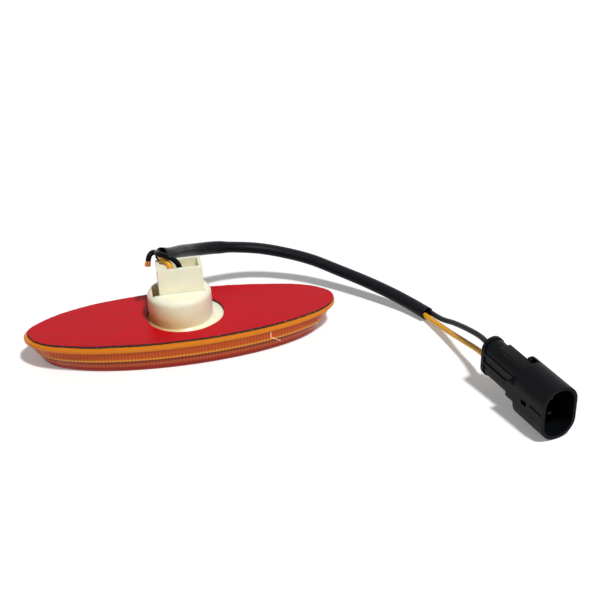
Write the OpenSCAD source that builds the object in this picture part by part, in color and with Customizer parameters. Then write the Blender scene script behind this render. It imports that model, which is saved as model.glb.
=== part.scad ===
// Oval side marker lamp with a two wire lead and a sealed two way plug.
// The lamp lies on its lens, mounting face up. X runs along the lamp, Z up, Y away from the viewer.
// The origin is on the lens face, at the middle of the lamp. Millimetres.

/* [Lens] */
// Length of the lens over its rim
lens_l = 121.8; // [110:0.1:140]
// Width of the lens over its rim
lens_w = 45; // [42:0.5:52]
// Height of the lens from its face to its rim
lens_h = 11; // [9:0.1:16]
// How far the wall leans in at each end, rim to face
wall_lean = 4.6; // [3:0.1:6]
// Radius round the edge of the face
face_edge_r = 3; // [1.5:0.1:3.5]
// Height of the band under the rim
rim_h = 1.6; // [1:0.1:2.4]
// How far the band stands out past the wall
rim_step = 0.9; // [0.3:0.1:1.5]
// Thickness of the face
face_t = 1.8; // [1.2:0.1:2.4]
// Thickness of the wall at the ends
wall_t = 2.2; // [1.6:0.1:3]
// Thickness of the rim round the back plate
rim_t = 2.1; // [1.5:0.1:2.5]
// Distance between the optic flutes on the inside of the face
flute_pitch = 2.4; // [2:0.1:4]
// Radius of each flute
flute_r = 0.9; // [0.6:0.1:1]

/* [Housing] */
// Thickness of the back plate
plate_t = 2; // [1.4:0.1:2.6]
// Outer diameter of the round boss
boss_d = 24.8; // [24:0.1:28]
// Height of the boss above the back plate
boss_h = 12.4; // [12:0.1:16]
// Wall of the boss
boss_wall = 1.3; // [1.1:0.1:2]
// Thickness of the top of the boss
boss_top = 1.8; // [1.2:0.1:2.4]
// Rounding of the top edge of the boss
boss_edge_r = 2.6; // [0.5:0.1:2.8]
// Height of the slope round the foot of the boss
boss_foot_h = 0.8; // [0.6:0.1:1.6]
// Width of the slope round the foot of the boss
boss_foot_w = 0.8; // [0.4:0.1:1.2]
// Depth of the well that the bulb holder stands in
well_depth = 5.4; // [4:0.1:6]
// Wall and floor of the well
well_wall = 1.5; // [1:0.1:1.8]
// Space left of the holder, for the finger that frees it
well_gap = 2.4; // [1.5:0.1:2.6]

/* [Adhesive pad] */
// Length of the foam pad
pad_l = 120.2; // [108:0.1:138]
// Width of the foam pad
pad_w = 42.6; // [40:0.1:50]
// Thickness of the foam
foam_t = 0.8; // [0.6:0.1:3]
// Thickness of the release liner
liner_t = 0.2; // [0.1:0.05:0.6]
// Diameter of the hole round the boss
pad_hole_d = 30; // [29:0.1:36]
// How far the pad is stuck on off the middle of the lamp
pad_x = 0.6; // [-1:0.1:1]
// How far its hole is off the middle of the boss
hole_x = 1.6; // [-1.5:0.1:2]

/* [Bulb holder] */
// Length of the holder
holder_l = 17.3; // [16:0.1:18]
// Depth of the holder, front to back
holder_w = 10.2; // [9.6:0.1:11]
// Height of the holder
holder_h = 15.5; // [14:0.1:20]
// Wall of the holder
holder_wall = 1.3; // [1:0.1:1.6]
// Thickness of the solid end left of the open top
holder_end = 4; // [2:0.1:4]
// Depth of the open top, where the wires go in
holder_cup = 5; // [4:0.1:6]
// Slack between the holder and the well
holder_gap = 0.15; // [0.1:0.05:0.3]
// How far the holder is turned in the lamp
holder_turn = -1; // [-8:0.5:8]
// Centre of the holder along the lamp
holder_x = 0.9; // [-0.8:0.1:1]
// Centre of the holder across the lamp
holder_y = 0.4; // [0:0.1:1]

/* [Bulb] */
// Diameter of the glass
bulb_d = 10.3; // [9:0.1:10.4]
// Space between the tip of the glass and the flutes
bulb_tip_gap = 0.6; // [0.4:0.1:2]
// Thickness of the glass
bulb_glass_t = 0.7; // [0.5:0.1:1]
// Width of the wedge base
wedge_w = 9.6; // [9:0.1:10]
// Thickness of the wedge base
wedge_t = 2.4; // [2:0.1:2.6]
// Height of the wedge base inside the holder
wedge_h = 9; // [8:0.1:9.4]

/* [Contacts] */
// Thickness of the contact strip
strip_t = 0.4; // [0.3:0.05:0.6]
// Width of the contact strip
strip_w = 3.3; // [3:0.1:3.5]
// Height of the crimp barrel in the holder
crimp_h = 1.7; // [1.2:0.1:2.4]
// Diameter of the crimp barrels
crimp_d = 2.6; // [2.4:0.1:3]

/* [Cable] */
// Diameter of each wire
wire_d = 2.1; // [1.6:0.1:2.1]
// Outer diameter of the sleeve
sleeve_d = 5.4; // [5.2:0.1:6]
// Wall of the sleeve
sleeve_t = 0.4; // [0.3:0.05:0.4]
// Length of bare core at the end of the cut tail
core_l = 2.2; // [1:0.1:3]

/* [Plug] */
// Width of the mouth outside, across the narrow side
mouth_w = 14; // [13:0.1:17]
// Height of the mouth outside
mouth_h = 20.6; // [19:0.1:23]
// Wall of the mouth
mouth_wall = 1.2; // [1:0.1:1.6]
// Depth of the mouth
mouth_depth = 15; // [14:0.1:16]
// Length of the wide front of the plug
shroud_l = 16.5; // [16:0.1:22]
// Length of the narrow rear of the plug
rear_l = 23.5; // [18:0.1:25]
// Width of the rear of the plug
rear_w = 8; // [7.6:0.1:10]
// Height of the rear of the plug
rear_h = 15; // [14:0.1:17]
// Length of the collar at the very back
collar_l = 1.6; // [1:0.1:4]
// How far that collar stands out
collar_out = 0.4; // [0.2:0.1:0.8]
// Distance between the two terminals
terminal_pitch = 6; // [5.8:0.1:6.4]
// Diameter of the wire seals
seal_d = 5; // [4.6:0.1:5.2]
// Length of the wire seals
seal_l = 5; // [4:0.1:6]
// Thickness of the terminal lock
lock_t = 2.5; // [2:0.1:3.5]
// Width of the terminal tabs
tab_w = 1.5; // [1.2:0.1:2]
// Thickness of the terminal tabs
tab_t = 0.8; // [0.6:0.1:1]
// How far the tabs reach past the lock
tab_reach = 7.5; // [5:0.1:9]
// Slack round the lock, tabs and terminals
plug_gap = 0.15; // [0.1:0.05:0.3]

/* [Hidden] */
$fn = 64;
// Overrun of a cutter past the face it opens, and the overlap of two cutters
cut = 1;
seam = 0.01;

// Lens and back plate
wall_top_l = lens_l - 2 * rim_step;
face_l = wall_top_l - 2 * wall_lean;
plate_z = lens_h - plate_t;
rebate_l = lens_l - 2 * rim_t;
rebate_w = lens_w - 2 * rim_t;
plate_slack = 0.15;
plate_ledge = 1.2;
plate_l = rebate_l - 2 * plate_slack;
plate_w = rebate_w - 2 * plate_slack;
cavity_top_l = rebate_l - 2 * plate_ledge;
cavity_low_l = face_l - 2 * wall_t + 2 * wall_lean * face_t / lens_h;
cavity_low_w = cavity_low_l * (lens_w - 3 * wall_t) / lens_l;
flute_count = floor(cavity_low_l / flute_pitch / 2);

// Boss and the well inside it
boss_r = boss_d / 2;
boss_top_z = lens_h + boss_h;
bore_r = boss_r - boss_wall;
well_z = boss_top_z - well_depth;
well_front = holder_w / 2 + holder_gap;
well_right = holder_l / 2 + holder_gap;
bulb_hole_d = bulb_d + 1;
well_overlap = 0.2;

// Pad and liner
pad_z = lens_h;
liner_z = pad_z + foam_t;

// Holder, bulb and contacts
holder_z = well_z;
holder_top_z = holder_z + holder_h;
cup_z = holder_top_z - holder_cup;
bulb_tip_z = face_t + flute_r + bulb_tip_gap;
bulb_r = bulb_d / 2;
wedge_top_z = holder_z + wedge_h;
shoulder_z = holder_z - 1.6;
shoulder_r = 2;
post_x = 2;
post_d = 0.6;
filament_d = 0.8;
filament_z = bulb_tip_z + 6;
holder_edge_r = 0.3;
shelf_in = 0.8;
wedge_slack = 0.2;
relief_w = 1.2;
relief_h = 1.6;
strip_x = 1.1;
strip_z = holder_z + 1;
strip_slack = 0.15;
crimp_y = -0.6;
crimp_x = [0.4, -3.3];
crimp_r = crimp_d / 2;
wire_z = cup_z + crimp_h;

// Place of the plug: middle of its mouth, turn and tip
plug_x = 115.1;
plug_y = -103;
plug_turn = -74.4;
plug_tip = 4.1;
plug_z = mouth_h / 2 * cos(plug_tip) + 0.02;
plug_l = shroud_l + rear_l;
seal_in = 0.8;
seal_start = -plug_l + seal_in;
terminal_space = 0.5;
terminal_end = seal_start + seal_l + terminal_space;
terminal_bore_d = 3.6;
mouth_edge_r = 6.7;
mouth_in_w = mouth_w - 2 * mouth_wall;
mouth_in_h = mouth_h - 2 * mouth_wall;
mouth_in_r = mouth_in_w / 2 - 0.05;
rear_edge_r = 3.9;
lock_x = -mouth_depth;

// Side blocks and roof rail that run on behind the wide part, bump, rails along the rear, rib and window
run_on = 4.4;
block_h = 6.4;
roof_rail_y = 3.2;
roof_rail_w = 2;
bump_at = 29.4;
bump_l = 3.4;
bump_w = 4;
bump_out = 0.2;
rail_z = [2.2, -1.6];
rail_w = 1;
rail_out = 0.4;
rib_at = 1.3;
rib_l = 6.2;
rib_z = 0.1;
rib_w = 0.7;
rib_out = 0.3;
window_at = 9.2;
window_l = 3;
window_h = 1.8;
window_in = 2;

// Lips of the seals, and the box and barrel of the terminals
lip_out = 0.25;
lip_w = 1;
barrel_l = 3.5;
box_l = 6;
box_w = 2.2;
box_h = 2.6;

// Route of the sleeve, from the lamp to its open end by the plug
sleeve_route = [
  [-4.9, 10, 33.7], [-1.2, 15, 31], [3.8, 24, 27.4], [9.8, 33, 23.3], [18.8, 40, 20], [28.8, 43, 17.5],
  [38.8, 43, 15.5], [48.8, 40, 13.5], [58.8, 34.5, 11.5], [68.8, 26, 9], [77.8, 16.5, 7.2],
  [85.8, 7, 5.4], [91.8, -1, 3.8], [96.6, -9.7, 2.8]
];
// Routes of the wires where they leave the sleeve, at the lamp and at the plug
black_lead = [
  [1.1, -0.2, 32], [0.7, 0, 33.4], [-0.5, 0.4, 35], [-2.5, 1, 36.4],
  [-4.8, 2.3, 36.9], [-6.4, 4.4, 36.7], [-6.7, 6.8, 36], [-6.3, 8.8, 35.3]
];
yellow_lead = [
  [-2.45, 0.1, 32], [-2.8, 0.9, 33.3], [-3.6, 2.4, 34.3],
  [-4.7, 4.5, 34.9], [-5.3, 6.5, 34.5], [-5.3, 8.1, 33.4]
];
black_end = [[99.5, -20, 5.3], [101.3, -30, 8.5], [102.8, -42, 12], [104.1, -54, 14.8]];
yellow_end = [[98, -20, 3.2], [99.8, -30, 4.6], [101.8, -42, 6.8], [103.8, -54, 8.8]];
tail_route = [[-7, 11.5, 34.2], [-7.8, 10.2, 34.9], [-8.8, 9, 35], [-9.7, 8.1, 34.2], [-10.2, 7.5, 32.7]];

// Lines and rings of the cable
wire_r = wire_d / 2;
wire_side = wire_r + 0.02;
wire_twist = [120, 140];
wire_foot = 0.8;
sleeve_bore_d = sleeve_d - 2 * sleeve_t;
core_d = 0.9 * wire_d;
wire_sides = 8;
sleeve_sides = 12;

function unit(v) = v / norm(v);
function last(route) = len(route) - 1;
function heading(route, i) = unit(route[min(i + 1, last(route))] - route[max(i - 1, 0)]);
function square_to(v, axis) = unit(v - (v * axis) * axis);
function first_side(axis) = square_to(abs(axis.z) > 0.9 ? [1, 0, 0] : [0, 0, 1], axis);

// The side direction of every ring, carried along the route without twist
function ring_sides(route) = [
  for (i = 0, u = first_side(heading(route, 0)); i < len(route);
    i = i + 1, u = square_to(u, heading(route, min(i, last(route))))) u
];
function rings(route, r, sides) = let (us = ring_sides(route)) [
  for (i = [0:last(route)]) let (t = heading(route, i), u = us[i], v = cross(t, u))
    for (k = [0:sides - 1]) let (a = 360 * k / sides) route[i] + r * (cos(a) * u + sin(a) * v)
];
function wall_faces(first, count, sides, outward) = [
  for (i = [0:count - 2]) for (k = [0:sides - 1])
    let (a = first + i * sides + k, b = first + i * sides + (k + 1) % sides)
      for (f = [[a, a + sides, b], [b, a + sides, b + sides]]) outward ? f : [f[2], f[1], f[0]]
];

// The line of one wire in the sleeve, off its axis and turned round the other wire, from one twist to the next
function beside(route, off, twist) = [
  for (i = [0:last(route)])
    let (
      t = heading(route, i), side = unit([t.y, -t.x, 0]),
      a = twist[0] + (twist[1] - twist[0]) * i / last(route)
    )
      route[i] + off * (cos(a) * side + sin(a) * cross(side, t))
];
function turned(p, a) = [p.x * cos(a) - p.y * sin(a), p.x * sin(a) + p.y * cos(a), p.z];
function tipped(p, a) = [p.x * cos(a) + p.z * sin(a), p.y, -p.x * sin(a) + p.z * cos(a)];
function plug_point(p) = [plug_x, plug_y, plug_z] + turned(tipped(p, plug_tip), plug_turn);
function holder_point(p) = [holder_x, holder_y, 0] + turned(p, holder_turn);
function wire_route(crimp, lead, off, end, level) = concat(
  [for (h = [0, wire_foot]) holder_point([crimp, crimp_y, wire_z + h])],
  lead, beside(sleeve_route, off, wire_twist), end,
  [plug_point([-plug_l, 0, level]), plug_point([terminal_end, 0, level])]
);
function arc(cx, cy, r, from, to, steps) = [
  for (i = [0:steps]) let (a = from + (to - from) * i / steps) [cx + r * cos(a), cy + r * sin(a)]
];

module tube(route, d, sides) {
  count = len(route);
  polyhedron(
    points = rings(route, d / 2, sides),
    faces = concat(
      wall_faces(0, count, sides, true),
      [[for (k = [0:sides - 1]) k]],
      [[for (k = [sides - 1:-1:0]) (count - 1) * sides + k]]
    ),
    convexity = 6
  );
}

module hollow_tube(route, d, bore, sides) {
  count = len(route);
  inner = count * sides;
  end = (count - 1) * sides;
  polyhedron(
    points = concat(rings(route, d / 2, sides), rings(route, bore / 2, sides)),
    faces = concat(
      wall_faces(0, count, sides, true),
      wall_faces(inner, count, sides, false),
      [for (k = [0:sides - 1]) let (n = (k + 1) % sides)
        for (f = [[k, n, inner + k], [n, inner + n, inner + k]]) f],
      [for (k = [0:sides - 1]) let (n = (k + 1) % sides)
        for (f = [[end + n, end + k, inner + end + k], [inner + end + n, end + n, inner + end + k]]) f]
    ),
    convexity = 10
  );
}

module oval(l, w, h) {
  linear_extrude(h) scale([1, w / l]) circle(d = l, $fn = 96);
}

module rounded_plate(w, h, r) {
  square([w - 2 * r, h], center = true);
  square([w, h - 2 * r], center = true);
  for (x = [-1, 1]) for (y = [-1, 1]) translate([x * (w / 2 - r), y * (h / 2 - r)]) circle(r);
}

module rounded_bar(l, w, h, r) {
  // A bar along X with its end at x = 0, w across Y and h up Z, with round long edges
  rotate([90, 0, 90]) linear_extrude(l) rounded_plate(w, h, r);
}

module at_holder() {
  translate([holder_x, holder_y, 0]) rotate([0, 0, holder_turn]) children();
}

module at_plug() {
  translate([plug_x, plug_y, plug_z]) rotate([0, plug_tip, plug_turn]) children();
}

module lens_shape() {
  foot = face_l / 2 - face_edge_r;
  scale([1, lens_w / lens_l, 1]) rotate_extrude($fn = 96) polygon(concat(
    [[0, 0]],
    arc(foot, face_edge_r, face_edge_r, -90, -20, 5),
    [
      [wall_top_l / 2, lens_h - rim_h],
      [lens_l / 2, lens_h - rim_h],
      [lens_l / 2, lens_h],
      [0, lens_h]
    ]
  ));
}

module lens_cavity() {
  depth = plate_z - face_t;
  translate([0, 0, face_t]) scale([1, cavity_low_w / cavity_low_l, 1])
    cylinder(d1 = cavity_low_l, d2 = cavity_top_l, h = depth + seam);
}

module flutes() {
  intersection() {
    rotate([90, 0, 0]) linear_extrude(lens_w, center = true)
      for (i = [-flute_count:flute_count]) translate([i * flute_pitch, face_t]) circle(flute_r, $fn = 24);
    translate([0, 0, face_t / 2]) oval(cavity_low_l, cavity_low_w, 2 * flute_r);
  }
}

module lens() {
  color("orange", 0.7) union() {
    difference() {
      lens_shape();
      lens_cavity();
      translate([0, 0, plate_z]) oval(rebate_l, rebate_w, plate_t + cut);
    }
    flutes();
  }
}

module boss_shape() {
  foot_r = boss_r + boss_foot_w;
  rotate_extrude() polygon(concat(
    [[0, plate_z], [foot_r, plate_z], [foot_r, lens_h], [boss_r, lens_h + boss_foot_h]],
    arc(boss_r - boss_edge_r, boss_top_z - boss_edge_r, boss_edge_r, 0, 90, 6),
    [[0, boss_top_z]]
  ));
}

module well_outline(grow) {
  left = well_right + well_gap;
  intersection() {
    at_holder() translate([-left - grow, -well_front - grow, 0])
      cube([left + well_right + 2 * grow, 2 * (well_front + grow), boss_top_z + cut]);
    cylinder(r = bore_r + well_overlap, h = boss_top_z + cut);
  }
}

module housing() {
  color("ivory") difference() {
    union() {
      translate([0, 0, plate_z]) oval(plate_l, plate_w, plate_t);
      difference() {
        boss_shape();
        translate([0, 0, plate_z - cut]) cylinder(r = bore_r, h = boss_top_z - boss_top - plate_z + cut);
      }
      intersection() {
        well_outline(well_wall);
        translate([0, 0, well_z - well_wall]) cylinder(r = bore_r + well_overlap, h = well_depth);
      }
    }
    translate([0, 0, plate_z - cut]) cylinder(r = bore_r, h = plate_t + cut);
    intersection() {
      well_outline(0);
      translate([0, 0, well_z]) cylinder(r = boss_r, h = well_depth + cut);
    }
    at_holder() translate([0, 0, plate_z - cut]) cylinder(d = bulb_hole_d, h = well_z - plate_z + 2 * cut);
  }
}

module pad_layer(t) {
  // Cut out of a flat sheet, so both its faces are true planes
  difference() {
    intersection() {
      translate([pad_x, 0, -cut]) oval(pad_l, pad_w, t + 2 * cut);
      translate([pad_x - pad_l / 2 - cut, -pad_w / 2 - cut, 0]) cube([pad_l + 2 * cut, pad_w + 2 * cut, t]);
    }
    translate([hole_x, 0, -cut]) cylinder(d = pad_hole_d, h = t + 2 * cut);
  }
}

module foam_pad() {
  color("dimgray") translate([0, 0, pad_z]) pad_layer(foam_t);
}

module release_liner() {
  color("crimson") translate([0, 0, liner_z]) pad_layer(liner_t);
}

module slot(w, t, h) {
  // A slot of the holder, open at its underside
  translate([-w / 2, -t / 2, holder_z - cut]) cube([w, t, h + cut]);
}

module bulb_holder() {
  slot_w = wedge_w + 2 * wedge_slack;
  slot_t = wedge_t + 2 * wedge_slack;
  color("ivory") at_holder() difference() {
    translate([0, 0, holder_z]) linear_extrude(holder_h) rounded_plate(holder_l, holder_w, holder_edge_r);
    slot(slot_w, slot_t, wedge_h + wedge_slack);
    slot(slot_w, slot_t + 2 * relief_w, relief_h);
    for (a = [0, 180]) rotate([0, 0, a]) translate([strip_x - strip_slack, 0, holder_z - cut])
      cube([strip_w + 2 * strip_slack, wedge_t / 2 + strip_t + strip_slack, holder_h]);
    translate([-holder_l / 2 + holder_end, -holder_w / 2 + holder_wall, cup_z])
      cube([holder_l - holder_end - holder_wall, holder_w - 2 * holder_wall, holder_cup + cut]);
    translate([-holder_l / 2 + holder_wall, -holder_w / 2 + holder_wall, holder_top_z - shelf_in])
      cube([holder_end, holder_w - 2 * holder_wall, shelf_in + cut]);
  }
}

module contact(side, crimp_at) {
  // The strip beside the wedge, its foot on the cup's floor and the crimp that the wire ends in
  strip_top = cup_z + strip_t;
  near_x = side == 1 ? strip_x : -strip_x - strip_w;
  near_y = side == 1 ? wedge_t / 2 : -wedge_t / 2 - strip_t;
  foot_x = min(near_x, crimp_at - crimp_r);
  foot_end = max(near_x + strip_w, crimp_at + crimp_r);
  foot_y = min(near_y, crimp_y - crimp_r);
  foot_back = max(near_y + strip_t, crimp_y + crimp_r);
  at_holder() union() {
    translate([near_x, near_y, strip_z]) cube([strip_w, strip_t, strip_top - strip_z]);
    translate([foot_x, foot_y, cup_z]) cube([foot_end - foot_x, foot_back - foot_y, strip_t]);
    translate([crimp_at, crimp_y, cup_z]) cylinder(r = crimp_r, h = crimp_h);
  }
}

module contact_black() {
  color("goldenrod") contact(1, crimp_x[0]);
}

module contact_yellow() {
  color("goldenrod") contact(-1, crimp_x[1]);
}

module bulb_barrel(r, low, high) {
  rotate_extrude() polygon(concat(
    [[0, low]],
    [for (i = [1:6]) let (a = -90 + 15 * i) [r * cos(a), low + r * 0.7 * (1 + sin(a))]],
    [[r, high - shoulder_r], [r - shoulder_r, high], [0, high]]
  ));
}

module bulb_glass() {
  inner_r = bulb_r - bulb_glass_t;
  color("white", 0.4) at_holder() union() {
    difference() {
      bulb_barrel(bulb_r, bulb_tip_z, shoulder_z + 1);
      bulb_barrel(inner_r, bulb_tip_z + bulb_glass_t, shoulder_z - bulb_glass_t);
    }
    translate([-wedge_w / 2, -wedge_t / 2, shoulder_z]) cube([wedge_w, wedge_t, wedge_top_z - shoulder_z]);
  }
}

module bulb_filament() {
  color("silver") at_holder() translate([-post_x + post_d / 2, 0, filament_z])
    rotate([0, 90, 0]) cylinder(d = filament_d, h = 2 * post_x - post_d);
}

module bulb_post(side) {
  color("silver") at_holder() translate([side * post_x, 0, filament_z - 0.5])
    cylinder(d = post_d, h = shoulder_z - bulb_glass_t - filament_z + 0.5);
}

module bulb_post_left() {
  bulb_post(-1);
}

module bulb_post_right() {
  bulb_post(1);
}

module wire_black() {
  color("black") tube(
    wire_route(crimp_x[0], black_lead, wire_side, black_end, terminal_pitch / 2), wire_d, wire_sides
  );
}

module wire_yellow() {
  color("gold") tube(
    wire_route(crimp_x[1], yellow_lead, -wire_side, yellow_end, -terminal_pitch / 2), wire_d, wire_sides
  );
}

module cable_sleeve() {
  color("black") hollow_tube(sleeve_route, sleeve_d, sleeve_bore_d, sleeve_sides);
}

module wire_tail() {
  color("black") tube(tail_route, wire_d, wire_sides);
}

module tail_core() {
  end = tail_route[last(tail_route)];
  tip = end + core_l * heading(tail_route, last(tail_route));
  color("chocolate") tube([end, tip], core_d, wire_sides);
}

module plug_shell() {
  translate([-shroud_l, 0, 0]) rounded_bar(shroud_l, mouth_w, mouth_h, mouth_edge_r);
  translate([-plug_l, 0, 0]) rounded_bar(rear_l + mouth_wall, rear_w, rear_h, rear_edge_r);
  translate([-plug_l, 0, 0])
    rounded_bar(collar_l, rear_w + 2 * collar_out, rear_h + 2 * collar_out, rear_edge_r + collar_out);
  translate([-shroud_l - run_on, -mouth_w / 2, -block_h / 2]) cube([run_on + mouth_wall, mouth_w, block_h]);
  intersection() {
    translate([-shroud_l - run_on, 0, 0]) rounded_bar(run_on + mouth_wall, mouth_w, mouth_h, mouth_edge_r);
    translate([-plug_l, roof_rail_y, block_h / 2]) cube([plug_l, roof_rail_w, mouth_h / 2]);
  }
  translate([-bump_at - bump_l, -bump_w / 2, 0]) cube([bump_l, bump_w, rear_h / 2 + bump_out]);
  for (z = rail_z) translate([-plug_l, -rear_w / 2 - rail_out, z])
    cube([rear_l, rear_w / 2, rail_w]);
  translate([-rib_at - rib_l, -mouth_w / 2 - rib_out, rib_z]) cube([rib_l, rib_out + mouth_wall / 2, rib_w]);
}

module plug_housing() {
  color([0.12, 0.12, 0.13]) at_plug() difference() {
    plug_shell();
    translate([-mouth_depth, 0, 0])
      rounded_bar(mouth_depth + cut, mouth_in_w, mouth_in_h, mouth_in_r);
    for (z = [-1, 1]) translate([0, 0, z * terminal_pitch / 2]) rotate([0, -90, 0]) {
      translate([0, 0, mouth_depth - cut]) cylinder(d = terminal_bore_d, h = plug_l);
      translate([0, 0, -seal_start - seal_l]) cylinder(d = seal_d, h = plug_l);
    }
    translate([-window_at - window_l, -mouth_w / 2 - cut, -window_h / 2])
      cube([window_l, window_in + cut, window_h]);
  }
}

module terminal_lock() {
  color([0.16, 0.16, 0.17]) at_plug() difference() {
    translate([lock_x, 0, 0])
      rounded_bar(lock_t, mouth_in_w - 2 * plug_gap, mouth_in_h - 2 * plug_gap, mouth_in_r - plug_gap);
    for (z = [-1, 1]) translate([lock_x - cut, 0, z * terminal_pitch / 2])
      rotate([90, 0, 90]) linear_extrude(lock_t + 2 * cut)
        square([tab_w + 2 * plug_gap, tab_t + 2 * plug_gap], center = true);
  }
}

module wire_seal(level) {
  at_plug() translate([seal_start, 0, level]) rotate([0, 90, 0]) difference() {
    union() {
      cylinder(d = seal_d - 2 * lip_out, h = seal_l);
      for (i = [0:2]) translate([0, 0, (seal_l - lip_w) * (i + 0.5) / 3]) cylinder(d = seal_d, h = lip_w);
    }
    translate([0, 0, -cut]) cylinder(d = wire_d, h = seal_l + 2 * cut);
  }
}

module seal_black() {
  color("darkkhaki") wire_seal(terminal_pitch / 2);
}

module seal_yellow() {
  color("darkkhaki") wire_seal(-terminal_pitch / 2);
}

module terminal(level) {
  tab_end = lock_x + lock_t + tab_reach;
  at_plug() translate([terminal_end, 0, level]) union() {
    rotate([0, 90, 0]) cylinder(d = crimp_d, h = barrel_l + box_l / 2);
    translate([barrel_l, -box_w / 2, -box_h / 2]) cube([box_l, box_w, box_h]);
    translate([barrel_l, -tab_w / 2, -tab_t / 2]) cube([tab_end - terminal_end - barrel_l, tab_w, tab_t]);
  }
}

module terminal_black() {
  color("silver") terminal(terminal_pitch / 2);
}

module terminal_yellow() {
  color("silver") terminal(-terminal_pitch / 2);
}

lens();
housing();
foam_pad();
release_liner();
bulb_holder();
contact_black();
contact_yellow();
bulb_glass();
bulb_filament();
bulb_post_left();
bulb_post_right();
wire_black();
wire_yellow();
cable_sleeve();
wire_tail();
tail_core();
plug_housing();
terminal_lock();
seal_black();
seal_yellow();
terminal_black();
terminal_yellow();
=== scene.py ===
"""Looks of an oval side marker lamp that lies on its lens, with its lead and plug.

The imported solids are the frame. The lens, foam pad, liner, wires, sleeve and cut tail are made
here in place of their solids, and the rear roof of the plug is raised over its solid. Every
other solid gets its material. Sizes are in metres and angles in degrees.
"""

import math

import bmesh
import bpy
from bpy.props import FloatProperty, FloatVectorProperty, PointerProperty
from mathutils import Euler, Matrix, Vector, noise


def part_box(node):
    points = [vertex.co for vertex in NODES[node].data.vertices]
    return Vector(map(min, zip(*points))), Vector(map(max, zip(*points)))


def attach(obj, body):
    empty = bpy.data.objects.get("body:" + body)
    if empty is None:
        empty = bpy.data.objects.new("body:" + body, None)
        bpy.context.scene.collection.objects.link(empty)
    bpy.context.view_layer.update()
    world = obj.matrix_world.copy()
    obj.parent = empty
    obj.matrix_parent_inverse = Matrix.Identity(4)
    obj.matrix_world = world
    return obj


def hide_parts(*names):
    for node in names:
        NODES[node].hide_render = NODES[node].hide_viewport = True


bl_info = {
    "name": "Side Marker Lamp",
    "version": (1, 0, 0),
    "blender": (4, 5, 0),
    "location": "3D View > Sidebar > Lamp",
    "description": "Makes the looks of an oval side marker lamp with its lead and plug",
    "category": "Object",
}

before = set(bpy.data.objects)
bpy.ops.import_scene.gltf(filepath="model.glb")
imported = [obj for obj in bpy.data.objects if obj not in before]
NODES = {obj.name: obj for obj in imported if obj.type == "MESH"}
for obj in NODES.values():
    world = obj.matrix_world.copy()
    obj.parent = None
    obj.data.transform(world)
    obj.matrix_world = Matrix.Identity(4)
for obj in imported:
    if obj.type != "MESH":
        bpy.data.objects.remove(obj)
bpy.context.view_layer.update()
BODY = "root"

# The camera that matches the photograph
CAMERA_PLACE = (-0.02591, -0.43368, 0.23855)
CAMERA_TURN = (62.633, 2.675, -10.951)
CAMERA_LENS = 75.0
CAMERA_SENSOR = 36.0

# Wires, sleeve and cut tail, repeated from the part's source
WIRE_D = 0.0021
WIRE_SIDE = 0.00107
WIRE_TWIST = (120.0, 140.0)
WIRE_FOOT = 0.0008
SLEEVE_D = 0.0054
SLEEVE_WALL = 0.0004
CORE_L = 0.0022

# Bulb holder and crimps, repeated from the part's source
HOLDER_PLACE = (0.0009, 0.0004)
HOLDER_TURN = -1.0
CRIMP_TOP = 0.0302
CRIMP_Y = -0.0006
CRIMP_BLACK = 0.0004
CRIMP_YELLOW = -0.0033

# Plug, repeated from the part's source
PLUG_PLACE = (0.1151, -0.103, 0.010294)
PLUG_TURN = -74.4
PLUG_TIP = 4.1
PLUG_REAR = -0.04
TERMINAL_END = -0.0337
TERMINAL_LEVEL = 0.003

# Lens and the hole in the pad, repeated from the part's source
LENS_L = 0.1218
LENS_W = 0.045
LENS_H = 0.011
WALL_LEAN = 0.0046
FACE_EDGE_R = 0.003
RIM_H = 0.0016
RIM_STEP = 0.0009
FACE_T = 0.0018
WALL_T = 0.0022
RIM_T = 0.0021
PLATE_T = 0.002
PLATE_LEDGE = 0.0012
FLUTE_PITCH = 0.0024
FLUTE_R = 0.0009
WALL_TOP_L = LENS_L - 2 * RIM_STEP
FACE_L = WALL_TOP_L - 2 * WALL_LEAN
REBATE_L = LENS_L - 2 * RIM_T
REBATE_W = LENS_W - 2 * RIM_T
CAVITY_TOP_L = REBATE_L - 2 * PLATE_LEDGE
CAVITY_LOW_L = FACE_L - 2 * WALL_T + 2 * WALL_LEAN * FACE_T / LENS_H
CAVITY_LOW_W = CAVITY_LOW_L * (LENS_W - 3 * WALL_T) / LENS_L
HOLE_X = 0.0016
HOLE_R = 0.015

# Small shapes of the lens that are only in the looks
RIM_ROUND = 0.00022
RIDGE_Z = 0.0051
RIDGE_H = 0.0004
RIDGE_OUT = 0.00018

# Rows of the fluted face across the lens, as shares of half its width. The flutes stop short
# of the outermost ones.
FLUTE_ROWS = (-1.0, -0.96, 0.0, 0.96, 1.0)

# Lowest and highest corner and rounding of the blocks that raise the plug's rear roof, in the
# plug's own frame
ROOF_BAR = ((-0.0328, -0.0025, 0.0057), (-0.0165, 0.0025, 0.0081), 0.0004)
ROOF_STEP = ((-0.0226, 0.0022, 0.006), (-0.0203, 0.0048, 0.0087), 0.0006)

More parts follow.
